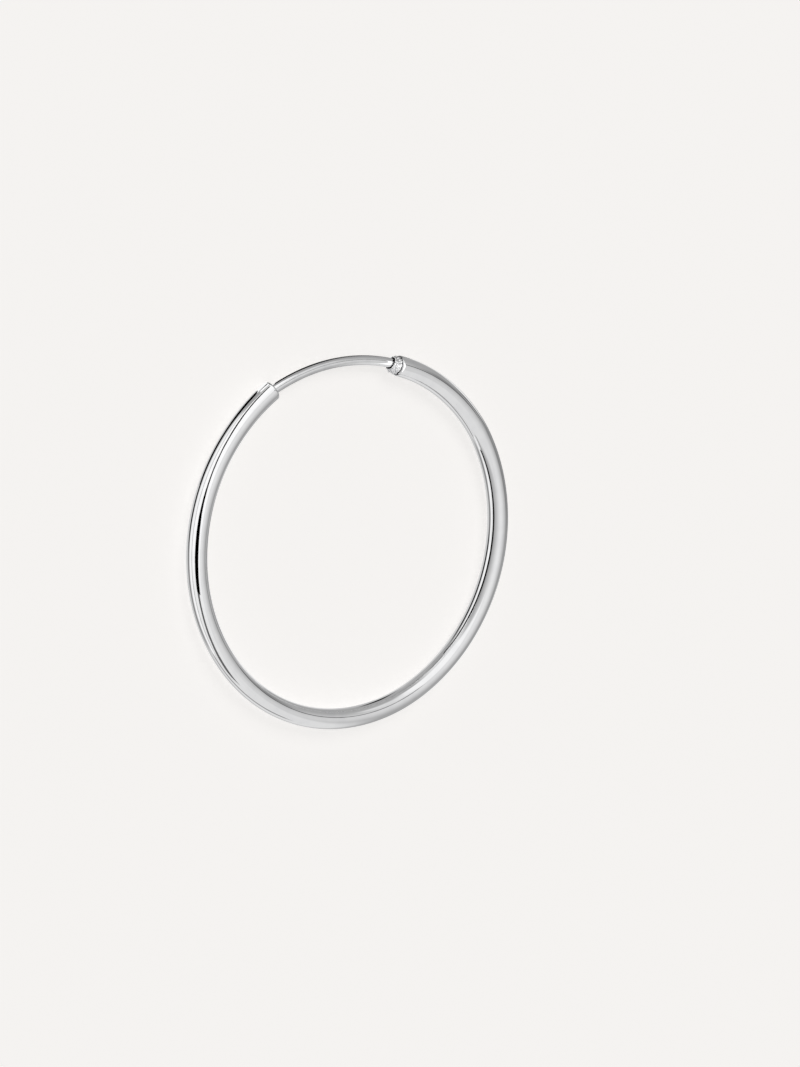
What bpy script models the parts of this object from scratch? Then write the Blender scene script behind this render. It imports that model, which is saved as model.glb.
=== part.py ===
"""An endless hoop earring of polished silver tube, lying on its side.

The hoop lies round the origin on the surface z = 0, and the middle of its ear wire is towards +Y. Angles are
polar, from +X towards +Y. The tube leaves its joint end clockwise and goes nearly once round to its open mouth.
The ear wire is fixed in the joint end, passes through the joint bead, bridges the gap and slides into the mouth.
"""

import math

import bmesh
import bpy
from mathutils import Vector

MM = 0.001

# Driving sizes
HOOP_DIAMETER = 37.0 * MM  # outside the tube
WIRE_DIAMETER = 0.95 * MM
WIRE_SLIDE_GAP = 0.275 * MM  # between the wire and the bore, all round
TUBE_WALL = 0.25 * MM
GAP_LENGTH = 15.0 * MM  # from rim to rim along the tube's circle
WIRE_IN_MOUTH = 6.5 * MM  # length of wire past the mouth's rim
WIRE_IN_JOINT = 2.2 * MM  # length of wire past the joint's rim
WIRE_TIP_LENGTH = 0.4 * MM  # rounded stretch at the wire's free end
BEAD_STEP = 0.02 * MM  # the bead's side lies this far inside the tube's
BEAD_STAND = 0.30 * MM  # from the joint's rim to the bead's centre
BEAD_GAP = 0.10 * MM  # bead to rim and bead to wire
BEAD_LUMP = 0.05 * MM  # depth of the bead's soft dents

# How the ends leave the circle
JOINT_DIP = 0.40 * MM  # the joint's rim is bent in by this
JOINT_DIP_LENGTH = 12.5 * MM
JOINT_DIP_POWER = 1.2
MOUTH_SPREAD = 0.15 * MM  # the mouth's rim stands out by this
MOUTH_SPREAD_LENGTH = 8.0 * MM
MOUTH_SPREAD_POWER = 2.0
WIRE_SAG = 0.18 * MM  # the wire's middle is this much flatter than an even run from rim to rim
WIRE_SETTLE_LENGTH = 3.0 * MM  # stretch in which the wire turns parallel to the bore

# Shares of the slide gap by which the wire leaves the bore's centre
WIRE_OUT_AT_JOINT = 0.36
WIRE_IN_AT_MOUTH = 0.25

# Rim section, from the skin to the bore: distance from the rim and depth in the wall, as shares of the wall
RIM_SECTION = (
    # along, depth
    (0.72, 0.00),
    (0.34, 0.08),
    (0.10, 0.30),
    (0.00, 0.62),
    (0.00, 0.84),
    (0.20, 1.00),
)

# Tip section of the wire: distance from the end as a share of the tip, and radius as a share of the wire's
TIP_SECTION = (
    # along, radius
    (1.00, 1.00),
    (0.55, 0.93),
    (0.20, 0.72),
    (0.00, 0.38),
)

# Fineness of the meshes
SKIN_STATIONS = 97
BORE_STATIONS = 65
TUBE_SIDES = 20
GAP_STATIONS = 24
HIDDEN_STATIONS = 10
WIRE_SIDES = 12
BEAD_RINGS = 8

# Sizes that follow
BORE_RADIUS = WIRE_DIAMETER / 2 + WIRE_SLIDE_GAP
TUBE_RADIUS = BORE_RADIUS + TUBE_WALL
CIRCLE_RADIUS = HOOP_DIAMETER / 2 - TUBE_RADIUS
BEAD_RADIUS = TUBE_RADIUS - BEAD_STEP
HALF_GAP = GAP_LENGTH / CIRCLE_RADIUS / 2
JOINT_ANGLE = math.pi / 2 - HALF_GAP
TUBE_LENGTH = 2 * math.pi * CIRCLE_RADIUS - GAP_LENGTH
SMALL_STEP = 0.01 * MM


def clear_scene():
    """Removes every object, so that the scene holds the earring alone."""
    for thing in list(bpy.data.objects):
        bpy.data.objects.remove(thing, do_unlink=True)


def silver(name, colour, roughness):
    """A polished silver material."""
    material = bpy.data.materials.new(name)
    material.use_nodes = True
    shader = material.node_tree.nodes["Principled BSDF"]
    shader.inputs["Base Color"].default_value = (*colour, 1.0)
    shader.inputs["Metallic"].default_value = 1.0
    shader.inputs["Roughness"].default_value = roughness
    return material


def eased(distance, length, power):
    """Falls from 1 at the rim to 0 at the given length, and stays there."""
    return max(0.0, 1.0 - distance / length) ** power


def tube_offset(distance):
    """How far the tube's centre lies outside the circle, by distance from the joint's rim."""
    dip = JOINT_DIP * eased(distance, JOINT_DIP_LENGTH, JOINT_DIP_POWER)
    spread = MOUTH_SPREAD * eased(TUBE_LENGTH - distance, MOUTH_SPREAD_LENGTH, MOUTH_SPREAD_POWER)
    return spread - dip


def tube_centre(distance):
    """A point of the tube's centre line. Distances run clockwise along the circle from the joint's rim."""
    angle = JOINT_ANGLE - distance / CIRCLE_RADIUS
    radius = CIRCLE_RADIUS + tube_offset(distance)
    return Vector((radius * math.cos(angle), radius * math.sin(angle), TUBE_RADIUS))


def wire_offset_in_gap(distance):
    """How far the wire's centre lies outside the circle, between the rims."""
    share = distance / GAP_LENGTH
    at_joint = tube_offset(0.0) + WIRE_OUT_AT_JOINT * WIRE_SLIDE_GAP
    at_mouth = tube_offset(TUBE_LENGTH) - WIRE_IN_AT_MOUTH * WIRE_SLIDE_GAP
    return at_joint + (at_mouth - at_joint) * share - 4 * WIRE_SAG * share * (1 - share)


def slope(offset, distance):
    """How fast an offset grows with distance."""
    return (offset(distance + SMALL_STEP) - offset(distance - SMALL_STEP)) / (2 * SMALL_STEP)


def settled(depth, lean):
    """What a leaning wire adds to its offset while it turns parallel to the bore."""
    return lean * depth * eased(depth, WIRE_SETTLE_LENGTH, 2.0)


def wire_offset(distance):
    """How far the wire's centre lies outside the circle, anticlockwise from the joint's rim to the mouth and in."""
    if distance < 0.0:
        lean = -slope(wire_offset_in_gap, 0.0) - slope(tube_offset, SMALL_STEP)
        return tube_offset(-distance) + WIRE_OUT_AT_JOINT * WIRE_SLIDE_GAP + settled(-distance, lean)
    if distance > GAP_LENGTH:
        depth = distance - GAP_LENGTH
        lean = slope(wire_offset_in_gap, GAP_LENGTH) + slope(tube_offset, TUBE_LENGTH - SMALL_STEP)
        return tube_offset(TUBE_LENGTH - depth) - WIRE_IN_AT_MOUTH * WIRE_SLIDE_GAP + settled(depth, lean)
    return wire_offset_in_gap(distance)


def wire_centre(distance):
    """A point of the wire's centre line. Distances run anticlockwise along the circle from the joint's rim."""
    angle = JOINT_ANGLE + distance / CIRCLE_RADIUS
    radius = CIRCLE_RADIUS + wire_offset(distance)
    return Vector((radius * math.cos(angle), radius * math.sin(angle), TUBE_RADIUS))


def axes_on(centre_line, distance):
    """The centre, the direction of travel and the level side direction of a centre line."""
    ahead = centre_line(distance + SMALL_STEP) - centre_line(distance - SMALL_STEP)
    ahead.normalize()
    return centre_line(distance), ahead, ahead.cross(Vector((0.0, 0.0, 1.0)))


def ring_on(centre_line, distance, radius, sides):
    """Points of a circle square to a centre line, the first one to its side."""
    centre, _, side = axes_on(centre_line, distance)
    turns = [2 * math.pi * i / sides for i in range(sides)]
    return [centre + radius * (math.cos(t) * side + Vector((0.0, 0.0, math.sin(t)))) for t in turns]


def evenly(first, last, count):
    """Evenly spaced values, with both ends."""
    return [first + (last - first) * i / (count - 1) for i in range(count)]


def join_rings(mesh, first, second):
    """Faces between two rings of as many points."""
    for i in range(len(first)):
        j = (i + 1) % len(first)
        mesh.faces.new((first[i], first[j], second[j], second[i]))


def solid(name, rings, material, ends_closed):
    """One closed body over a run of rings, which ends in two flat caps or returns to its first ring."""
    mesh = bmesh.new()
    loops = [[mesh.verts.new(point) for point in ring] for ring in rings]
    for first, second in zip(loops, loops[1:]):
        join_rings(mesh, first, second)
    if ends_closed:
        mesh.faces.new(loops[0])
        mesh.faces.new(loops[-1])
    else:
        join_rings(mesh, loops[-1], loops[0])
    bmesh.ops.recalc_face_normals(mesh, faces=mesh.faces)
    data = bpy.data.meshes.new(name)
    mesh.to_mesh(data)
    mesh.free()
    data.shade_smooth()
    data.set_sharp_from_angle(angle=math.radians(50))
    data.materials.append(material)
    made = bpy.data.objects.new(name, data)
    bpy.context.scene.collection.objects.link(made)
    return made


def hoop_tube(material):
    """The bent tube: its skin, the rounded mouth, the bore back to the joint and the rounded joint rim."""

    def ring(distance, depth):
        return ring_on(tube_centre, distance, TUBE_RADIUS - depth, TUBE_SIDES)

    rim = [(along * TUBE_WALL, depth * TUBE_WALL) for along, depth in RIM_SECTION]
    skin_start = rim[0][0]
    bore_start = rim[-1][0]
    rings = [ring(d, 0.0) for d in evenly(skin_start, TUBE_LENGTH - skin_start, SKIN_STATIONS)]
    rings += [ring(TUBE_LENGTH - along, depth) for along, depth in rim[1:-1]]
    bore = evenly(TUBE_LENGTH - bore_start, bore_start, BORE_STATIONS)
    rings += [ring(d, TUBE_WALL) for d in bore]
    rings += [ring(along, depth) for along, depth in reversed(rim[1:-1])]
    return solid("hoop_tube", rings, material, ends_closed=False)


def ear_wire(material):
    """The ear wire, from its square fixed end in the joint to its rounded tip in the mouth."""
    radius = WIRE_DIAMETER / 2
    tip = GAP_LENGTH + WIRE_IN_MOUTH
    rings = [ring_on(wire_centre, d, radius, WIRE_SIDES) for d in evenly(-WIRE_IN_JOINT, 0.0, HIDDEN_STATIONS)]
    rings += [ring_on(wire_centre, d, radius, WIRE_SIDES) for d in evenly(0.0, GAP_LENGTH, GAP_STATIONS)[1:]]
    hidden = evenly(GAP_LENGTH, tip - WIRE_TIP_LENGTH, HIDDEN_STATIONS)
    rings += [ring_on(wire_centre, d, radius, WIRE_SIDES) for d in hidden[1:]]
    for along, share in TIP_SECTION[1:]:
        rings.append(ring_on(wire_centre, tip - along * WIRE_TIP_LENGTH, share * radius, WIRE_SIDES))
    return solid("ear_wire", rings, material, ends_closed=True)


def onto_ball(point, along, centre, radius):
    """Where a line through the point leaves the ball."""
    start = point - centre
    middle = start.dot(along)
    return point + along * (math.sqrt(middle * middle - start.length_squared + radius * radius) - middle)


def onto_plane(point, along, plane_point, normal):
    """Where a line through the point meets a plane."""
    return point + along * ((plane_point - point).dot(normal) / along.dot(normal))


def lumpy(direction, ahead, side):
    """The bead's radius in a direction, with three soft dents round it and one in front."""
    turn = math.atan2(direction.z, direction.dot(side))
    front = max(0.0, direction.dot(ahead))
    dents = (1 - front) * (0.5 + 0.5 * math.sin(3 * turn + 0.8)) + front * (0.5 + 0.5 * math.cos(2 * turn))
    return BEAD_RADIUS - BEAD_LUMP * dents


def joint_bead(material):
    """The bead on the joint's rim: a soft ball, flat where it meets the rim, with a hole for the wire."""
    rim_centre, back, _ = axes_on(tube_centre, 0.0)
    ahead = -back
    side = ahead.cross(Vector((0.0, 0.0, 1.0)))
    centre = rim_centre + BEAD_STAND * ahead
    flat_centre = rim_centre + BEAD_GAP * ahead
    flat_radius = math.sqrt(BEAD_RADIUS**2 - (BEAD_STAND - BEAD_GAP) ** 2) - BEAD_LUMP
    turns = [2 * math.pi * i / WIRE_SIDES for i in range(WIRE_SIDES)]
    spokes = [math.cos(t) * side + Vector((0.0, 0.0, math.sin(t))) for t in turns]
    flat_ring = [flat_centre + flat_radius * spoke for spoke in spokes]

    wire_middle, wire_ahead, wire_side = axes_on(wire_centre, BEAD_STAND)
    hole_radius = WIRE_DIAMETER / 2 + BEAD_GAP
    hole = [
        wire_middle + hole_radius * (math.cos(t) * wire_side + Vector((0.0, 0.0, math.sin(t))))
        for t in turns
    ]
    hole_front = [onto_ball(point, wire_ahead, centre, BEAD_RADIUS - BEAD_LUMP) for point in hole]
    hole_back = [onto_plane(point, wire_ahead, flat_centre, ahead) for point in hole]

    rings = [flat_ring]
    for share in evenly(0.0, 1.0, BEAD_RINGS)[1:-1]:
        between = [(a.lerp(b, share) - centre).normalized() for a, b in zip(flat_ring, hole_front)]
        rings.append([centre + direction * lumpy(direction, ahead, side) for direction in between])
    rings += [hole_front, hole_back]
    return solid("joint_bead", rings, material, ends_closed=False)


def main():
    """Models the earring's three pieces."""
    clear_scene()
    hoop_tube(silver("tube_silver", (0.90, 0.90, 0.92), 0.04))
    joint_bead(silver("bead_silver", (0.92, 0.92, 0.93), 0.06))
    ear_wire(silver("wire_silver", (0.88, 0.88, 0.90), 0.05))


main()
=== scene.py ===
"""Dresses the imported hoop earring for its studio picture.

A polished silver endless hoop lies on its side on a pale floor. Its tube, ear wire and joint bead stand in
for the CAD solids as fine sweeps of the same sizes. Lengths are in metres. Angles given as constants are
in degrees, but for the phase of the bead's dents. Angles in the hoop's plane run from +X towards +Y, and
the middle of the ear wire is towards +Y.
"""

from __future__ import annotations

import logging
import math
from dataclasses import dataclass, field
from enum import Enum
from typing import Callable, Sequence

import bmesh
import bpy
from mathutils import Matrix, Vector, noise


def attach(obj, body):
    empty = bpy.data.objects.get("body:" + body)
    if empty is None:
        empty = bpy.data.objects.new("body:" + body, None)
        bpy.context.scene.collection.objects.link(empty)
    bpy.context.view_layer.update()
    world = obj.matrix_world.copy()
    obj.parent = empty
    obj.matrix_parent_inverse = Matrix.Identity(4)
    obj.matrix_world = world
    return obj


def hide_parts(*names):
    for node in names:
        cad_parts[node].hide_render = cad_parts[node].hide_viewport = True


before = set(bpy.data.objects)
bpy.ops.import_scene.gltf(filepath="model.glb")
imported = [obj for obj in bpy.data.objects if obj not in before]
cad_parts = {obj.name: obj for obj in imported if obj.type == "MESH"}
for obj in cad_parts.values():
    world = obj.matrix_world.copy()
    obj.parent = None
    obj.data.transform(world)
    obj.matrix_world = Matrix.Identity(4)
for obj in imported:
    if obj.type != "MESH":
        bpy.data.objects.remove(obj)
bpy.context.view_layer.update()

MM = 0.001
UP = Vector((0.0, 0.0, 1.0))
SMALL_STEP = 0.01 * MM

Colour = tuple[float, float, float]
Ring = list[Vector]
Row = tuple[float, float, float, float]
Socket = bpy.types.NodeSocket
log = logging.getLogger("hoop_earring")


class Slot(Enum):
    """The record's material slots."""

    TUBE = "tube"
    BEAD = "bead"
    WIRE = "wire"


class Join(Enum):
    """How the first and last ring of a loft are closed."""

    CAPS = "flat caps"
    ROUND = "the last ring meets the first"


def eased(distance: float, length: float, power: float) -> float:
    """Falls from 1 at distance 0 to 0 at the given length, and stays there."""
    return max(0.0, 1.0 - distance / length) ** power


def evenly(first: float, last: float, count: int) -> list[float]:
    """Evenly spaced values, with both ends."""
    return [first + (last - first) * i / (count - 1) for i in range(count)]


def slope(offset: Callable[[float], float], distance: float) -> float:
    """How fast an offset grows with distance."""
    return (offset(distance + SMALL_STEP) - offset(distance - SMALL_STEP)) / (2 * SMALL_STEP)


def direction(azimuth: float, elevation: float) -> Vector:
    """Unit vector of an azimuth, from +X towards +Y, and an elevation over the floor, in degrees."""
    a, e = math.radians(azimuth), math.radians(elevation)
    return Vector((math.cos(e) * math.cos(a), math.cos(e) * math.sin(a), math.sin(e)))


def circle(centre: Vector, side: Vector, radius: float, sides: int) -> Ring:
    """Points of a circle in the plane of a level side direction and up, from the side onwards."""
    turns = [2 * math.pi * i / sides for i in range(sides)]
    return [centre + radius * (math.cos(t) * side + math.sin(t) * UP) for t in turns]


def axes_on(
    centre_line: Callable[[float], Vector], distance: float
) -> tuple[Vector, Vector, Vector]:
    """The axes of a centre line at a distance along it.

    Args:
        centre_line: gives a point for a distance.
        distance: where on the line.

    Returns:
        The centre, the direction of travel and the level side direction.
    """
    ahead = centre_line(distance + SMALL_STEP) - centre_line(distance - SMALL_STEP)
    ahead.normalize()
    return centre_line(distance), ahead, ahead.cross(UP)


def ring_on(
    centre_line: Callable[[float], Vector], distance: float, radius: float, sides: int
) -> Ring:
    """Points of a circle square to a centre line, at a distance along it."""
    centre, _, side = axes_on(centre_line, distance)
    return circle(centre, side, radius, sides)


@dataclass
class Loft:
    """A closed skin over a run of rings, with a texture map in millimetres along and round it."""

    name: str
    rings: Sequence[Ring]
    join: Join
    sharp_angle: float = 40.0

    def mesh_object(self) -> bpy.types.Object:
        """Makes the mesh and its object.

        Returns:
            The object, linked to the scene.
        """
        work = bmesh.new()
        layer = work.loops.layers.uv.new("sweep")
        loops = [[work.verts.new(point) for point in ring] for ring in self.rings]
        lengths = self._lengths()
        for k in range(len(loops) - 1):
            self._band(work, layer, loops[k], loops[k + 1], lengths[k], lengths[k + 1])
        if self.join is Join.CAPS:
            work.faces.new(loops[0])
            work.faces.new(loops[-1])
        else:
            step = (self.rings[0][0] - self.rings[-1][0]).length / MM
            self._band(work, layer, loops[-1], loops[0], lengths[-1], lengths[-1] + step)
        bmesh.ops.recalc_face_normals(work, faces=work.faces)
        data = bpy.data.meshes.new(self.name)
        work.to_mesh(data)
        work.free()
        data.shade_smooth()
        data.set_sharp_from_angle(angle=math.radians(self.sharp_angle))
        made = bpy.data.objects.new(self.name, data)
        bpy.context.scene.collection.objects.link(made)
        return made

    def _lengths(self) -> list[float]:
        """Measures the loft from ring to ring.

        Returns:
            The distance of each ring along the loft, in millimetres.
        """
        lengths = [0.0]
        for first, second in zip(self.rings, self.rings[1:]):
            lengths.append(lengths[-1] + (second[0] - first[0]).length / MM)
        return lengths

    def _band(
        self,
        work: bmesh.types.BMesh,
        layer: bmesh.types.BMLayerItem,
        first: Sequence[bmesh.types.BMVert],
        second: Sequence[bmesh.types.BMVert],
        start: float,
        end: float,
    ) -> None:
        """Makes the faces between two rings and maps them.

        Args:
            work: the mesh being made.
            layer: its texture map.
            first: points of the first ring.
            second: points of the second ring.
            start: map position of the first ring along the loft.
            end: map position of the second ring along the loft.
        """
        count = len(first)
        edge = (first[1].co - first[0].co).length / MM
        for i in range(count):
            j = (i + 1) % count
            face = work.faces.new((first[i], first[j], second[j], second[i]))
            corners = ((start, i), (start, i + 1), (end, i + 1), (end, i))
            for loop, (along, turn) in zip(face.loops, corners):
                loop[layer].uv = (along, turn * edge)


@dataclass
class NodeBench:
    """Adds nodes to a node tree and links them."""

    tree: bpy.types.NodeTree

    def add(
        self, kind: str, inputs: dict[str | int, object] | None = None, **settings: object
    ) -> bpy.types.Node:
        """Adds a node.

        Args:
            kind: Blender's name of the node type.
            inputs: values or sockets for the node's inputs.
            **settings: the node's own settings.

        Returns:
            The node.
        """
        node = self.tree.nodes.new(kind)
        for name, value in settings.items():
            setattr(node, name, value)
        for name, value in (inputs or {}).items():
            if isinstance(value, Socket):
                self.tree.links.new(value, node.inputs[name])
            else:
                node.inputs[name].default_value = value
        return node

    def math(self, operation: str, *values: object) -> Socket:
        """Adds a Math node over numbers or sockets and returns its result."""
        return self.add("ShaderNodeMath", dict(enumerate(values)), operation=operation).outputs[0]

    def dot(self, vector: Socket, fixed: Vector) -> Socket:
        """Returns the dot product of a vector socket with a fixed vector."""
        inputs = {0: vector, 1: tuple(fixed)}
        return self.add("ShaderNodeVectorMath", inputs, operation="DOT_PRODUCT").outputs["Value"]

    def remap(
        self,
        value: Socket,
        low: float,
        high: float,
        at_low: float,
        at_high: float,
        smooth: bool = True,
    ) -> Socket:
        """Maps a range of a value to another range.

        Args:
            value: the value that is mapped.
            low: start of its range.
            high: end of its range.
            at_low: result at the start.
            at_high: result at the end.
            smooth: whether the result eases in and out.

        Returns:
            The mapped value.
        """
        kind = "SMOOTHSTEP" if smooth else "LINEAR"
        inputs = {
            "Value": value,
            "From Min": low,
            "From Max": high,
            "To Min": at_low,
            "To Max": at_high,
        }
        return self.add("ShaderNodeMapRange", inputs, interpolation_type=kind).outputs["Result"]

    def noise(self, vector: Socket, scale: float, detail: float) -> Socket:
        """Returns a noise value from 0 to 1 over a vector."""
        inputs = {"Vector": vector, "Scale": scale, "Detail": detail}
        return self.add("ShaderNodeTexNoise", inputs).outputs["Fac"]


@dataclass(frozen=True)
class PolishedSilver:
    """Polished silver with faint polishing lines, soft waves and a trace of tone.

    Polish is the roughness of the brightest and of the dullest patch. Lines run along the sweep.
    Scales are per millimetre.
    """

    name: str
    bright: Colour
    toned: Colour
    polish: tuple[float, float]
    line_depth: float
    wave_depth: float
    line_stretch: float = 0.06
    patch_scale: float = 0.9
    line_scale: float = 14.0
    wave_scale: float = 0.35
    patch_detail: float = 4.0
    line_detail: float = 3.0
    wave_detail: float = 1.0
    toned_patches: tuple[float, float] = (0.35, 0.75)
    dull_patches: tuple[float, float] = (0.3, 0.7)

    def material(self) -> bpy.types.Material:
        """Builds the finish.

        Returns:
            The material.
        """
        made = bpy.data.materials.new(self.name)
        made.use_nodes = True
        bench = NodeBench(made.node_tree)
        shader = made.node_tree.nodes["Principled BSDF"]
        shader.inputs["Metallic"].default_value = 1.0
        place = bench.add("ShaderNodeUVMap", uv_map="sweep").outputs["UV"]
        stretch = (self.line_stretch, 1.0, 1.0)
        along = bench.add("ShaderNodeMapping", {"Vector": place, "Scale": stretch}).outputs["Vector"]
        spot = bench.add("ShaderNodeTexCoord").outputs["Object"]
        lines = bench.noise(along, self.line_scale, self.line_detail)
        patches = bench.noise(spot, self.patch_scale / MM, self.patch_detail)
        waves = bench.noise(spot, self.wave_scale / MM, self.wave_detail)

        tone = bench.add("ShaderNodeMix", data_type="RGBA")
        toned = bench.remap(patches, *self.toned_patches, 0.0, 1.0)
        bench.tree.links.new(toned, tone.inputs["Factor"])
        tone.inputs["A"].default_value = (*self.bright, 1.0)
        tone.inputs["B"].default_value = (*self.toned, 1.0)
        bench.tree.links.new(tone.outputs["Result"], shader.inputs["Base Color"])

        dull = bench.math("MULTIPLY", bench.math("ADD", lines, patches), 0.5)
        rough = bench.remap(dull, *self.dull_patches, *self.polish, smooth=False)
        bench.tree.links.new(rough, shader.inputs["Roughness"])

        inputs = {"Height": lines, "Distance": self.line_depth, "Strength": 1.0}
        fine = bench.add("ShaderNodeBump", inputs).outputs["Normal"]
        inputs = {"Height": waves, "Distance": self.wave_depth, "Strength": 1.0, "Normal": fine}
        soft = bench.add("ShaderNodeBump", inputs).outputs["Normal"]
        bench.tree.links.new(soft, shader.inputs["Normal"])
        return made


@dataclass(frozen=True)
class PaleSheet:
    """The matt pale finish of the floor, with a glow of its own that keeps its tone even."""

    name: str
    colour: Colour
    glow: float

    def material(self) -> bpy.types.Material:
        """Builds the finish.

        Returns:
            The material.
        """
        made = bpy.data.materials.new(self.name)
        made.use_nodes = True
        shader = made.node_tree.nodes["Principled BSDF"]
        shader.inputs["Base Color"].default_value = (*self.colour, 1.0)
        shader.inputs["Emission Color"].default_value = (*self.colour, 1.0)
        shader.inputs["Emission Strength"].default_value = self.glow
        shader.inputs["Roughness"].default_value = 1.0
        shader.inputs["Specular IOR Level"].default_value = 0.0
        return made


@dataclass
class HoopTube:
    """The bent tube, open at its mouth and hollow right through."""

    diameter: float = 37.0 * MM
    radius: float = 1.0 * MM
    wall: float = 0.25 * MM
    inset: float = 0.002 * MM
    gap_length: float = 15.0 * MM
    joint_dip: float = 0.40 * MM
    joint_dip_length: float = 12.5 * MM
    joint_dip_power: float = 1.2
    mouth_spread: float = 0.15 * MM
    mouth_spread_length: float = 8.0 * MM
    mouth_spread_power: float = 2.0
    skin_stations: int = 481
    bore_stations: int = 161
    sides: int = 60
    rim_steps: int = 9
    rim_turn: float = 0.72
    finish: PolishedSilver = field(
        default_factory=lambda: PolishedSilver(
            name="mirror_polished_tube",
            bright=(0.955, 0.955, 0.960),
            toned=(0.915, 0.915, 0.925),
            polish=(0.015, 0.055),
            line_depth=0.0006 * MM,
            wave_depth=0.006 * MM,
        )
    )

    @property
    def circle_radius(self) -> float:
        """Radius of the tube's centre line."""
        return self.diameter / 2 - self.radius

    @property
    def length(self) -> float:
        """Length of the tube along its circle, from rim to rim."""
        return 2 * math.pi * self.circle_radius - self.gap_length

    @property
    def joint_angle(self) -> float:
        """Polar angle of the joint's rim."""
        return math.pi / 2 - self.gap_length / self.circle_radius / 2

    def offset(self, distance: float) -> float:
        """How far the centre line lies outside the circle.

        Args:
            distance: along the circle from the joint's rim.

        Returns:
            The offset: the dip at the joint and the spread at the mouth.
        """
        left = self.length - distance
        dip = self.joint_dip * eased(distance, self.joint_dip_length, self.joint_dip_power)
        spread = self.mouth_spread * eased(left, self.mouth_spread_length, self.mouth_spread_power)
        return spread - dip

    def centre(self, distance: float) -> Vector:
        """Finds a point of the centre line.

        Args:
            distance: clockwise along the circle from the joint's rim.

        Returns:
            The point.
        """
        angle = self.joint_angle - distance / self.circle_radius
        reach = self.circle_radius + self.offset(distance)
        return Vector((reach * math.cos(angle), reach * math.sin(angle), self.radius))

    def rim_section(self) -> list[tuple[float, float]]:
        """The rounded rim from the skin to the bore.

        Returns:
            Pairs of distance from the rim and depth under the skin.
        """
        section = []
        for turn in evenly(0.0, math.pi, self.rim_steps):
            depth = self.wall * (1 - math.cos(turn)) / 2
            section.append((self.rim_turn * self.wall * (1 - math.sin(turn)), depth))
        return section

    def build(self) -> bpy.types.Object:
        """Builds the skin, the rounded mouth, the bore back to the joint and the joint's rim.

        Returns:
            The tube, dressed and riding on the hoop.
        """
        rim = self.rim_section()
        start = rim[0][0]
        skin = [(d, 0.0) for d in evenly(start, self.length - start, self.skin_stations)]
        mouth = [(self.length - along, depth) for along, depth in rim[1:-1]]
        bore = [(d, self.wall) for d in evenly(self.length - start, start, self.bore_stations)]
        joint = [(along, depth) for along, depth in reversed(rim[1:-1])]
        rings = [
            ring_on(self.centre, distance, self.radius - self.inset - depth, self.sides)
            for distance, depth in skin + mouth + bore + joint
        ]
        tube = Loft("polished_tube", rings, Join.ROUND).mesh_object()
        tube.data.materials.append(self.finish.material())
        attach(tube, "root")
        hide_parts("hoop_tube")
        return tube


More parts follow.
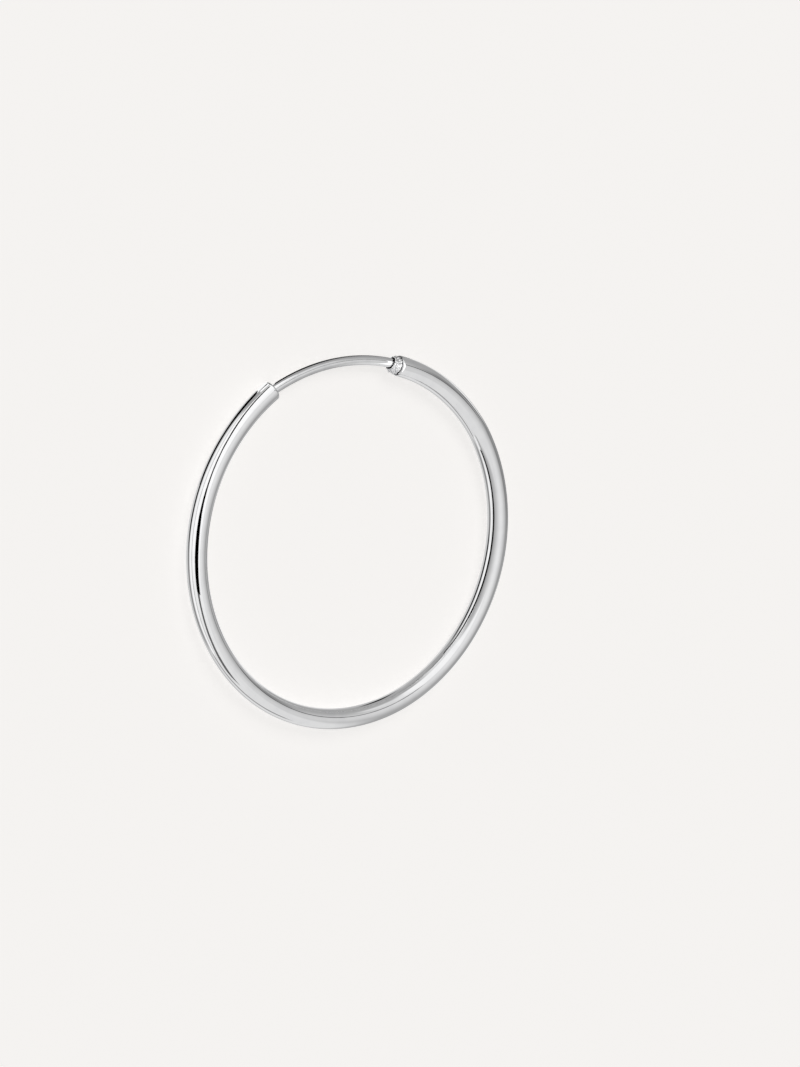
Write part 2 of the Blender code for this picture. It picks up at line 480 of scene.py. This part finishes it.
@dataclass
class EarWire:
    """The ear wire, fixed in the joint and sliding in the mouth."""

    tube: HoopTube
    diameter: float = 0.95 * MM
    slide_gap: float = 0.275 * MM
    in_mouth: float = 6.5 * MM
    in_joint: float = 2.2 * MM
    tip_length: float = 0.4 * MM
    sag: float = 0.18 * MM
    settle_length: float = 3.0 * MM
    settle_power: float = 2.0
    out_at_joint: float = 0.36
    in_at_mouth: float = 0.25
    stations: int = 221
    sides: int = 40
    tip_steps: int = 9
    tip_flat: float = 0.38
    finish: PolishedSilver = field(
        default_factory=lambda: PolishedSilver(
            name="drawn_polished_wire",
            bright=(0.95, 0.95, 0.955),
            toned=(0.88, 0.88, 0.89),
            polish=(0.04, 0.12),
            line_depth=0.0012 * MM,
            wave_depth=0.004 * MM,
        )
    )

    def offset_in_gap(self, distance: float) -> float:
        """How far the centre line lies outside the circle, between the rims.

        Args:
            distance: along the circle from the joint's rim.

        Returns:
            The offset: a straight run from rim to rim, less a sag that is deepest halfway.
        """
        gap = self.tube.gap_length
        share = distance / gap
        at_joint = self.tube.offset(0.0) + self.out_at_joint * self.slide_gap
        at_mouth = self.tube.offset(self.tube.length) - self.in_at_mouth * self.slide_gap
        return at_joint + (at_mouth - at_joint) * share - 4 * self.sag * share * (1 - share)

    def settled(self, depth: float, lean: float) -> float:
        """What a leaning wire adds to its offset while it turns parallel to the bore."""
        return lean * depth * eased(depth, self.settle_length, self.settle_power)

    def offset(self, distance: float) -> float:
        """How far the centre line lies outside the circle, in the joint, the gap and the mouth.

        Args:
            distance: anticlockwise along the circle from the joint's rim, less than 0 in the joint.

        Returns:
            The offset.
        """
        tube, gap = self.tube, self.tube.gap_length
        if distance < 0.0:
            lean = -slope(self.offset_in_gap, 0.0) - slope(tube.offset, SMALL_STEP)
            settled = self.settled(-distance, lean)
            return tube.offset(-distance) + self.out_at_joint * self.slide_gap + settled
        if distance > gap:
            depth = distance - gap
            lean = slope(self.offset_in_gap, gap) + slope(tube.offset, tube.length - SMALL_STEP)
            settled = self.settled(depth, lean)
            at_bore = tube.offset(tube.length - depth)
            return at_bore - self.in_at_mouth * self.slide_gap + settled
        return self.offset_in_gap(distance)

    def centre(self, distance: float) -> Vector:
        """Finds a point of the centre line.

        Args:
            distance: anticlockwise along the circle from the joint's rim.

        Returns:
            The point.
        """
        angle = self.tube.joint_angle + distance / self.tube.circle_radius
        reach = self.tube.circle_radius + self.offset(distance)
        return Vector((reach * math.cos(angle), reach * math.sin(angle), self.tube.radius))

    def build(self) -> bpy.types.Object:
        """Builds the wire from its square fixed end to its rounded tip.

        Returns:
            The wire, dressed and riding on the hoop.
        """
        radius = self.diameter / 2 - self.tube.inset
        end = self.tube.gap_length + self.in_mouth
        shaft = evenly(-self.in_joint, end - self.tip_length, self.stations)
        rings = [ring_on(self.centre, d, radius, self.sides) for d in shaft]
        for turn in evenly(0.0, math.pi / 2, self.tip_steps)[1:]:
            share = self.tip_flat + (1 - self.tip_flat) * math.cos(turn)
            distance = end - self.tip_length * (1 - math.sin(turn))
            rings.append(ring_on(self.centre, distance, radius * share, self.sides))
        wire = Loft("polished_ear_wire", rings, Join.CAPS).mesh_object()
        wire.data.materials.append(self.finish.material())
        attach(wire, "root")
        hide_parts("ear_wire")
        return wire


@dataclass
class JointBead:
    """The lumpy bright bead on the joint's rim, with a hole for the wire."""

    tube: HoopTube
    wire: EarWire
    step: float = 0.02 * MM
    stand: float = 0.30 * MM
    gap: float = 0.10 * MM
    lump: float = 0.05 * MM
    dents_round: int = 3
    dents_round_phase: float = 0.8
    dents_in_front: int = 2
    ripple: float = 0.15 * MM
    ripple_scale: float = 3.6
    ripple_gain: float = 1.3
    sides: int = 120
    rings: int = 76
    finish: PolishedSilver = field(
        default_factory=lambda: PolishedSilver(
            name="bright_lumpy_bead",
            bright=(0.97, 0.97, 0.975),
            toned=(0.92, 0.92, 0.93),
            polish=(0.02, 0.07),
            line_depth=0.0008 * MM,
            wave_depth=0.01 * MM,
            line_stretch=1.0,
            line_scale=5.0,
            wave_scale=1.2,
        )
    )

    def reach(self, way: Vector, ahead: Vector, side: Vector) -> float:
        """The bead's radius in a direction, with soft dents and ripples cut into it.

        Args:
            way: unit vector from the bead's centre.
            ahead: the direction of the wire.
            side: the level side direction.

        Returns:
            The radius there.
        """
        turn = math.atan2(way.z, way.dot(side))
        front = max(0.0, way.dot(ahead))
        round_dents = 0.5 + 0.5 * math.sin(self.dents_round * turn + self.dents_round_phase)
        front_dents = 0.5 + 0.5 * math.cos(self.dents_in_front * turn)
        dents = (1 - front) * round_dents + front * front_dents
        ripples = min(1.0, self.ripple_gain * noise.voronoi(way * self.ripple_scale)[0][0])
        return self.tube.radius - self.step - self.lump * dents - self.ripple * ripples

    def build(self) -> bpy.types.Object:
        """Builds the bead's flat back, its lumpy ball and its hole.

        Returns:
            The bead, dressed and riding on the hoop.
        """
        rim_centre, back, _ = axes_on(self.tube.centre, 0.0)
        ahead = -back
        side = ahead.cross(UP)
        centre = rim_centre + self.stand * ahead
        flat_centre = rim_centre + self.gap * ahead
        ball = self.tube.radius - self.step
        flat_radius = math.sqrt(ball**2 - (self.stand - self.gap) ** 2) - self.lump - self.ripple
        flat_ring = circle(flat_centre, side, flat_radius, self.sides)

        _, wire_ahead, _ = axes_on(self.wire.centre, self.stand)
        hole = ring_on(self.wire.centre, self.stand, self.wire.diameter / 2 + self.gap, self.sides)
        inner = ball - self.lump - self.ripple
        front_ring = [self._onto_ball(point, wire_ahead, centre, inner) for point in hole]
        back_ring = [
            point + wire_ahead * ((flat_centre - point).dot(ahead) / wire_ahead.dot(ahead))
            for point in hole
        ]

        rings = [flat_ring]
        for share in evenly(0.0, 1.0, self.rings)[1:-1]:
            ways = [(a.lerp(b, share) - centre).normalized() for a, b in zip(flat_ring, front_ring)]
            rings.append([centre + way * self.reach(way, ahead, side) for way in ways])
        rings += [front_ring, back_ring]
        bead = Loft("bright_joint_bead", rings, Join.ROUND).mesh_object()
        bead.data.materials.append(self.finish.material())
        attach(bead, "root")
        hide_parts("joint_bead")
        return bead

    def _onto_ball(self, point: Vector, along: Vector, centre: Vector, radius: float) -> Vector:
        """Where a line through the point leaves the ball.

        Args:
            point: a point of the line.
            along: the line's direction.
            centre: centre of the ball.
            radius: radius of the ball.

        Returns:
            The point on the ball.
        """
        start = point - centre
        middle = start.dot(along)
        half = math.sqrt(middle * middle - start.length_squared + radius * radius)
        return point + along * (half - middle)


@dataclass(frozen=True)
class Card:
    """A soft-edged card far from the hoop: a light one or a dark flag.

    Sizes and places are in degrees as seen from the hoop. Brightness replaces that of what lies
    behind the card. A card shows on its own half of the tent only, where it fades in over side_fade.
    """

    azimuth: float
    elevation: float
    width: float
    height: float
    brightness: float
    softness: float
    roll: float = 0.0
    side_fade: float = 0.1
    least_depth: float = 0.001

    def mask(self, bench: NodeBench, ray: Socket) -> Socket:
        """How much of the card a ray meets.

        Args:
            bench: where the nodes go.
            ray: unit vector of the ray.

        Returns:
            1 on the card, 0 off it and in between on its soft edge.
        """
        middle = direction(self.azimuth, self.elevation)
        turn = Matrix.Rotation(math.radians(self.roll), 3, middle)
        level = UP.cross(middle).normalized()
        across = turn @ level
        upward = turn @ middle.cross(level)
        depth = bench.dot(ray, middle)
        ahead = bench.math("MAXIMUM", depth, self.least_depth)
        mask = bench.remap(depth, 0.0, self.side_fade, 0.0, 1.0)
        soft = math.tan(math.radians(self.softness / 2))
        for axis, size in ((across, self.width), (upward, self.height)):
            away = bench.math("ABSOLUTE", bench.math("DIVIDE", bench.dot(ray, axis), ahead))
            half = math.tan(math.radians(size / 2))
            inside = bench.remap(away, half - soft, half + soft, 1.0, 0.0)
            mask = bench.math("MULTIPLY", mask, inside)
        return mask


@dataclass(frozen=True)
class Studio:
    """The soft light tent that the silver mirrors, with plain light for the floor and a backdrop.

    The tent is grey at the horizon and paler overhead. It gets paler underfoot too, between the
    two heights of low_heights, which are sines of elevations.
    """

    name: str = "soft_light_tent"
    backdrop: Colour = (0.913, 0.896, 0.880)
    floor_light: float = 0.23
    wall: float = 0.38
    roof: float = 0.83
    roof_power: float = 2.5
    low: float = 0.66
    low_heights: tuple[float, float] = (-0.95, -0.35)
    cards: tuple[Card, ...] = (
        # the pale side towards the bottom of the hoop
        Card(azimuth=264, elevation=12, width=72, height=104, brightness=0.74, softness=22),
        # the camera's side: a white strip under the horizon, a grey one over it, dark ones lower down
        Card(azimuth=170, elevation=-18, width=124, height=32, brightness=0.95, softness=8),
        Card(azimuth=185, elevation=13, width=96, height=14, brightness=0.27, softness=12),
        Card(azimuth=150, elevation=-51, width=72, height=22, brightness=0.0, softness=8),
        Card(azimuth=208, elevation=-44, width=40, height=22, brightness=0.26, softness=14),
        # the light box at the wire's side with its dimmer foot
        Card(azimuth=108, elevation=10, width=36, height=36, brightness=0.72, softness=16),
        Card(azimuth=57, elevation=44, width=18, height=34, brightness=0.72, softness=10),
        Card(azimuth=94, elevation=47, width=42, height=50, brightness=0.95, softness=14),
        # dark things low at the wire's side
        Card(azimuth=104, elevation=-17, width=16, height=44, brightness=0.36, softness=8),
        Card(azimuth=92, elevation=-47, width=30, height=20, brightness=0.40, softness=10),
        Card(azimuth=57, elevation=-36, width=13, height=19, brightness=0.0, softness=6),
        # the wall behind the hoop, darker over the horizon and bright below it
        Card(azimuth=350, elevation=10, width=18, height=30, brightness=0.24, softness=12),
        Card(azimuth=347, elevation=-30, width=18, height=34, brightness=0.22, softness=10),
        Card(azimuth=5, elevation=-27, width=10, height=34, brightness=0.88, softness=6),
        Card(azimuth=326, elevation=-32, width=14, height=36, brightness=0.93, softness=10),
        Card(azimuth=4, elevation=1, width=12, height=8, brightness=0.10, softness=5),
        Card(azimuth=11, elevation=23, width=12, height=20, brightness=0.24, softness=10),
        Card(azimuth=331, elevation=14, width=18, height=28, brightness=0.33, softness=14),
        # thin dark edges
        Card(azimuth=14, elevation=44, width=52, height=4.5, brightness=0.06, softness=3, roll=60),
        Card(azimuth=256, elevation=-12, width=46, height=9, brightness=0.24, softness=5, roll=28),
    )

    def build(self) -> bpy.types.World:
        """Makes the world and sets it on the scene.

        Returns:
            The world.
        """
        world = bpy.data.worlds.new(self.name)
        world.use_nodes = True
        world.node_tree.nodes.clear()
        bench = NodeBench(world.node_tree)
        ray = bench.add("ShaderNodeTexCoord").outputs["Generated"]
        ray = bench.add("ShaderNodeVectorMath", {0: ray}, operation="NORMALIZE").outputs["Vector"]
        light = self._plain_tent(bench, ray)
        for card in self.cards:
            mask = card.mask(bench, ray)
            behind = bench.math("MULTIPLY", bench.math("SUBTRACT", 1.0, mask), light)
            light = bench.math("MULTIPLY_ADD", mask, card.brightness, behind)
        white = (1.0, 1.0, 1.0, 1.0)
        tent = bench.add("ShaderNodeBackground", {"Color": white, "Strength": light})
        plain = bench.add("ShaderNodeBackground", {"Color": white, "Strength": self.floor_light})
        colour = (*self.backdrop, 1.0)
        backdrop = bench.add("ShaderNodeBackground", {"Color": colour, "Strength": 1.0})
        kind = bench.add("ShaderNodeLightPath").outputs
        inputs = {0: kind["Is Glossy Ray"], 1: plain.outputs[0], 2: tent.outputs[0]}
        unseen = bench.add("ShaderNodeMixShader", inputs)
        inputs = {0: kind["Is Camera Ray"], 1: unseen.outputs[0], 2: backdrop.outputs[0]}
        mixed = bench.add("ShaderNodeMixShader", inputs)
        bench.add("ShaderNodeOutputWorld", {"Surface": mixed.outputs[0]})
        bpy.context.scene.world = world
        return world

    def _plain_tent(self, bench: NodeBench, ray: Socket) -> Socket:
        """Works out the tent without its cards: grey at the horizon, paler above and below.

        Args:
            bench: where the nodes go.
            ray: unit vector of the ray.

        Returns:
            The brightness.
        """
        height = bench.dot(ray, UP)
        above = bench.math("POWER", bench.math("MAXIMUM", height, 0.0), self.roof_power)
        upper = bench.math("MULTIPLY_ADD", above, self.roof - self.wall, self.wall)
        lower = bench.remap(height, *self.low_heights, self.low - self.wall, 0.0)
        return bench.math("ADD", upper, lower)


@dataclass(frozen=True)
class CardPaper:
    """The glow of a near card: its mesh's own, or that on the front and an even one on the back."""

    name: str
    back: float | None

    def material(self) -> bpy.types.Material:
        """Builds the finish.

        Returns:
            The material.
        """
        made = bpy.data.materials.new(self.name)
        made.use_nodes = True
        made.node_tree.nodes.clear()
        bench = NodeBench(made.node_tree)
        strength = bench.add("ShaderNodeAttribute", attribute_name="glow").outputs["Fac"]
        if self.back is not None:
            behind = bench.add("ShaderNodeNewGeometry").outputs["Backfacing"]
            front = bench.math("MULTIPLY", bench.math("SUBTRACT", 1.0, behind), strength)
            strength = bench.math("MULTIPLY_ADD", behind, self.back, front)
        glow = bench.add("ShaderNodeEmission", {"Color": (1.0, 1.0, 1.0, 1.0), "Strength": strength})
        bench.add("ShaderNodeOutputMaterial", {"Surface": glow.outputs[0]})
        made.cycles.emission_sampling = "NONE"
        return made


@dataclass(frozen=True)
class NearCard:
    """A card close to the hoop, which only the silver mirrors.

    Each row has four numbers: three for where the card's two edges lie at one place along it, and
    its glow there. Without a back glow of its own, the back glows as the front does.
    """

    name: str
    rows: tuple[Row, ...]
    back_glow: float | None = None
    steps: int = 6

    def edge_points(self, row: Sequence[float]) -> tuple[Vector, Vector]:
        """The two edges of the card at a row."""
        raise NotImplementedError

    def smooth_rows(self) -> list[list[float]]:
        """The rows with smooth steps between them.

        Returns:
            The longer list of rows.
        """
        ends = [self._beyond(0, 1), *self.rows, self._beyond(-1, -2)]
        smooth = []
        for four in zip(ends, ends[1:], ends[2:], ends[3:]):
            for t in evenly(0.0, 1.0, self.steps + 1)[:-1]:
                smooth.append([self._between(t, *column) for column in zip(*four)])
        return [*smooth, list(self.rows[-1])]

    def _beyond(self, end: int, inner: int) -> tuple[float, ...]:
        """A row that carries the card's end straight on."""
        return tuple(2 * a - b for a, b in zip(self.rows[end], self.rows[inner]))

    @staticmethod
    def _between(t: float, a: float, b: float, c: float, d: float) -> float:
        """A smooth value between b and c, at share t."""
        bend = (-a + 3 * b - 3 * c + d) * t + (2 * a - 5 * b + 4 * c - d)
        return 0.5 * (2 * b + (bend * t + (c - a)) * t)

    def build(self) -> bpy.types.Object:
        """Makes the card, which isn't part of the earring.

        Returns:
            The card.
        """
        work = bmesh.new()
        glow = work.verts.layers.float.new("glow")
        pairs = []
        for row in self.smooth_rows():
            pairs.append([work.verts.new(point) for point in self.edge_points(row)])
            for corner in pairs[-1]:
                corner[glow] = max(0.0, row[3])
        for (a, b), (c, d) in zip(pairs, pairs[1:]):
            work.faces.new((a, b, d, c))
        data = bpy.data.meshes.new(self.name)
        work.to_mesh(data)
        work.free()
        data.materials.append(CardPaper(self.name, self.back_glow).material())
        card = bpy.data.objects.new(self.name, data)
        bpy.context.scene.collection.objects.link(card)
        card.visible_camera = False
        card.visible_diffuse = False
        card.visible_shadow = False
        return card


@dataclass(frozen=True)
class LevelCard(NearCard):
    """A level card over or under the hoop.

    A row is an azimuth in degrees, the inner and the outer edge in millimetres, and a glow.
    """

    height: float = 7.0 * MM

    def edge_points(self, row: Sequence[float]) -> tuple[Vector, Vector]:
        """The inner and outer edge at a row."""
        way = direction(row[0], 0.0)
        return way * row[1] * MM + UP * self.height, way * row[2] * MM + UP * self.height


@dataclass(frozen=True)
class UprightCard(NearCard):
    """A card that stands across the middle of the hoop, where x is 0.

    A row is y, the lower and the upper edge in millimetres, and a glow.
    """

    def edge_points(self, row: Sequence[float]) -> tuple[Vector, Vector]:
        """The lower and upper edge at a row."""
        return Vector((0.0, row[0], row[1])) * MM, Vector((0.0, row[0], row[2])) * MM


def lit(glow: float, *edges: tuple[float, float, float]) -> tuple[Row, ...]:
    """Gives the rows of a near card one glow."""
    return tuple((*row, glow) for row in edges)


NEAR_CARDS = (
    # the white band along the left side of the hoop, greyer towards the bottom
    LevelCard(
        name="near_white_card",
        height=7.1 * MM,
        rows=(
            (92.0, 26.5, 110.0, 1.03),
            (100.0, 24.0, 110.0, 1.03),
            (109.0, 21.9, 110.0, 1.03),
            (116.3, 20.6, 110.0, 1.03),
            (123.4, 19.7, 110.0, 1.03),
            (130.4, 19.0, 110.0, 1.03),
            (137.4, 18.9, 110.0, 1.03),
            (149.1, 18.8, 110.0, 1.03),
            (160.8, 18.1, 110.0, 1.03),
            (172.6, 17.6, 110.0, 1.0),
            (184.3, 18.0, 110.0, 0.93),
            (191.2, 18.3, 110.0, 0.88),
            (200.5, 18.8, 110.0, 0.84),
            (212.0, 20.1, 110.0, 0.8),
            (223.8, 21.6, 110.0, 0.77),
            (236.0, 23.6, 110.0, 0.75),
            (251.9, 28.6, 110.0, 0.74),
            (262.0, 36.0, 110.0, 0.74),
            (276.0, 90.0, 110.0, 0.74),
        ),
    ),
    # the black line in that band
    LevelCard(
        name="near_black_wedge",
        height=7.0 * MM,
        rows=lit(
            0.0,
            (101.7, 38.1, 65.0),
            (111.1, 32.8, 50.2),
            (120.2, 28.8, 38.6),
            (128.8, 25.7, 31.5),
            (136.6, 24.3, 28.2),
            (142.9, 23.3, 26.4),
            (148.9, 22.4, 25.4),
            (154.9, 21.5, 25.3),
            (160.9, 20.6, 25.5),
            (166.8, 19.7, 25.3),
            (172.7, 19.4, 25.2),
            (178.7, 19.5, 25.5),
            (184.7, 20.0, 25.8),
            (190.0, 20.6, 26.0),
        ),
    ),
    # the thin line that carries the black one on to the bottom
    LevelCard(
        name="near_grey_line",
        height=7.0 * MM,
        rows=lit(
            0.12,
            (190.0, 21.8, 25.4),
            (196.9, 22.5, 26.2),
            (202.0, 23.2, 27.6),
            (208.8, 24.4, 30.3),
            (215.8, 25.8, 34.1),
            (224.1, 28.2, 45.2),
            (234.7, 32.7, 70.0),
        ),
    ),
    # the black edge outside, below the mouth
    LevelCard(
        name="low_black_edge",
        height=-4.0 * MM,
        rows=lit(
            0.0,
            (113.6, 20.4, 27.5),
            (118.9, 20.4, 27.5),
            (123.5, 20.6, 27.0),
            (130.4, 20.6, 25.0),
            (137.5, 20.3, 22.6),
            (144.4, 20.2, 22.1),
            (151.5, 20.5, 21.3),
        ),
    ),
    # the white strip outside, at the mouth
    LevelCard(
        name="low_white_strip",
        height=-4.1 * MM,
        rows=lit(
            1.03,
            (101.0, 14.0, 60.0),
            (106.0, 14.0, 60.0),
            (108.0, 14.0, 42.0),
            (110.5, 14.0, 31.0),
            (113.4, 14.0, 24.5),
        ),
    ),
    # the thin dark line in that strip
    LevelCard(
        name="low_dark_line",
        height=-3.9 * MM,
        rows=(
            (106.8, 23.4, 29.5, 0.0),
            (108.0, 23.9, 28.6, 0.0),
            (109.5, 24.4, 27.8, 0.06),
            (111.5, 24.9, 27.3, 0.1),
            (112.6, 25.0, 27.0, 0.1),
        ),
    ),
    # the dark line along the wire's upper edge
    LevelCard(
        name="low_dark_arc",
        height=-4.0 * MM,
        rows=(
            (105.0, 15.6, 27.0, 0.0),
            (97.0, 15.8, 28.0, 0.0),
            (89.5, 16.2, 29.5, 0.0),
            (82.0, 16.5, 31.5, 0.03),
            (74.0, 16.9, 34.0, 0.12),
            (65.0, 17.3, 37.0, 0.22),
            (57.0, 17.8, 40.0, 0.33),
            (50.0, 18.2, 43.0, 0.38),
        ),
    ),
    # pale light from under the hoop
    LevelCard(
        name="low_pale_patch",
        height=-4.0 * MM,
        rows=(
            (185.0, 7.0, 18.6, 0.45),
            (200.0, 7.0, 18.4, 0.62),
            (220.0, 7.0, 18.4, 0.85),
            (245.0, 7.5, 18.3, 0.88),
            (265.0, 8.0, 18.2, 0.75),
            (285.0, 9.0, 18.2, 0.5),
        ),
    ),
    # the light on the bead
    LevelCard(
        name="bead_light",
        height=3.2 * MM,
        rows=lit(
            1.3,
            (62.0, 14.6, 18.8),
            (66.2, 14.6, 18.8),
        ),
    ),
    # a strip across the middle, grey to the left side of the hoop and black to the right one
    UprightCard(
        name="middle_dark_strip",
        back_glow=0.0,
        rows=lit(
            0.45,
            (-9.5, -1.5, 3.6),
            (-7.3, 1.1, 6.2),
            (-4.2, 1.6, 6.7),
            (-1.8, 0.0, 5.4),
            (4.6, -3.4, 2.4),
            (16.6, -11.0, -5.0),
        ),
    ),
)


@dataclass(frozen=True)
class SoftKey:
    """A broad, weak key light that gives the floor its faint shadows."""

    name: str = "soft_key"
    azimuth: float = 70.0
    elevation: float = 50.0
    spread: float = 35.0
    strength: float = 0.45

    def build(self) -> bpy.types.Object:
        """Makes the light.

        Returns:
            The light's object.
        """
        data = bpy.data.lights.new(self.name, "SUN")
        data.energy = self.strength
        data.angle = math.radians(self.spread)
        light = bpy.data.objects.new(self.name, data)
        light.rotation_mode = "QUATERNION"
        light.rotation_quaternion = direction(self.azimuth, self.elevation).to_track_quat("Z", "Y")
        light.visible_glossy = False
        bpy.context.scene.collection.objects.link(light)
        return light


@dataclass(frozen=True)
class Floor:
    """The plain pale floor that the hoop lies on."""

    name: str = "pale_floor"
    half_side: float = 1.5
    cells: int = 4
    finish: PaleSheet = PaleSheet(name="matt_pale_floor", colour=(0.80, 0.785, 0.77), glow=0.80)

    def build(self) -> bpy.types.Object:
        """Makes the floor, which isn't part of the earring.

        Returns:
            The floor.
        """
        work = bmesh.new()
        bmesh.ops.create_grid(
            work, x_segments=self.cells, y_segments=self.cells, size=self.half_side
        )
        data = bpy.data.meshes.new(self.name)
        work.to_mesh(data)
        work.free()
        data.materials.append(self.finish.material())
        floor = bpy.data.objects.new(self.name, data)
        bpy.context.scene.collection.objects.link(floor)
        floor.visible_glossy = False
        return floor


@dataclass(frozen=True)
class PictureCamera:
    """The camera at the photo's angle to the hoop. Lens and sensor are in millimetres."""

    name: str = "picture_camera"
    lens: float = 269.9
    sensor: float = 36.0
    nearest: float = 0.05
    farthest: float = 20.0
    place: tuple[float, float, float] = (-0.41214, 0.18893, 0.61477)
    right: tuple[float, float, float] = (0.8129, -0.0768, 0.5774)
    up: tuple[float, float, float] = (0.2044, 0.9658, -0.1593)

    def build(self) -> bpy.types.Object:
        """Makes the camera and sets it on the scene.

        Returns:
            The camera.
        """
        data = bpy.data.cameras.new(self.name)
        data.lens = self.lens
        data.sensor_width = self.sensor
        data.clip_start = self.nearest
        data.clip_end = self.farthest
        camera = bpy.data.objects.new(self.name, data)
        right = Vector(self.right).normalized()
        back = right.cross(Vector(self.up)).normalized()
        up = back.cross(right)
        turn = Matrix((right, up, back)).transposed().to_4x4()
        camera.matrix_world = Matrix.Translation(Vector(self.place)) @ turn
        bpy.context.scene.collection.objects.link(camera)
        bpy.context.scene.camera = camera
        return camera


def main() -> None:
    """Builds the earring's pieces, the floor, the light and the camera."""
    logging.basicConfig(level=logging.INFO, format="%(name)s: %(message)s")
    bpy.context.scene.view_settings.view_transform = "Standard"
    tube = HoopTube()
    wire = EarWire(tube)
    bead = JointBead(tube, wire)
    for part in (tube, wire, bead):
        piece = part.build()
    for stage in (Floor(), Studio(), *NEAR_CARDS, SoftKey(), PictureCamera()):
        log.info("%s is in place", stage.build().name)


if __name__ == "__main__":
    main()
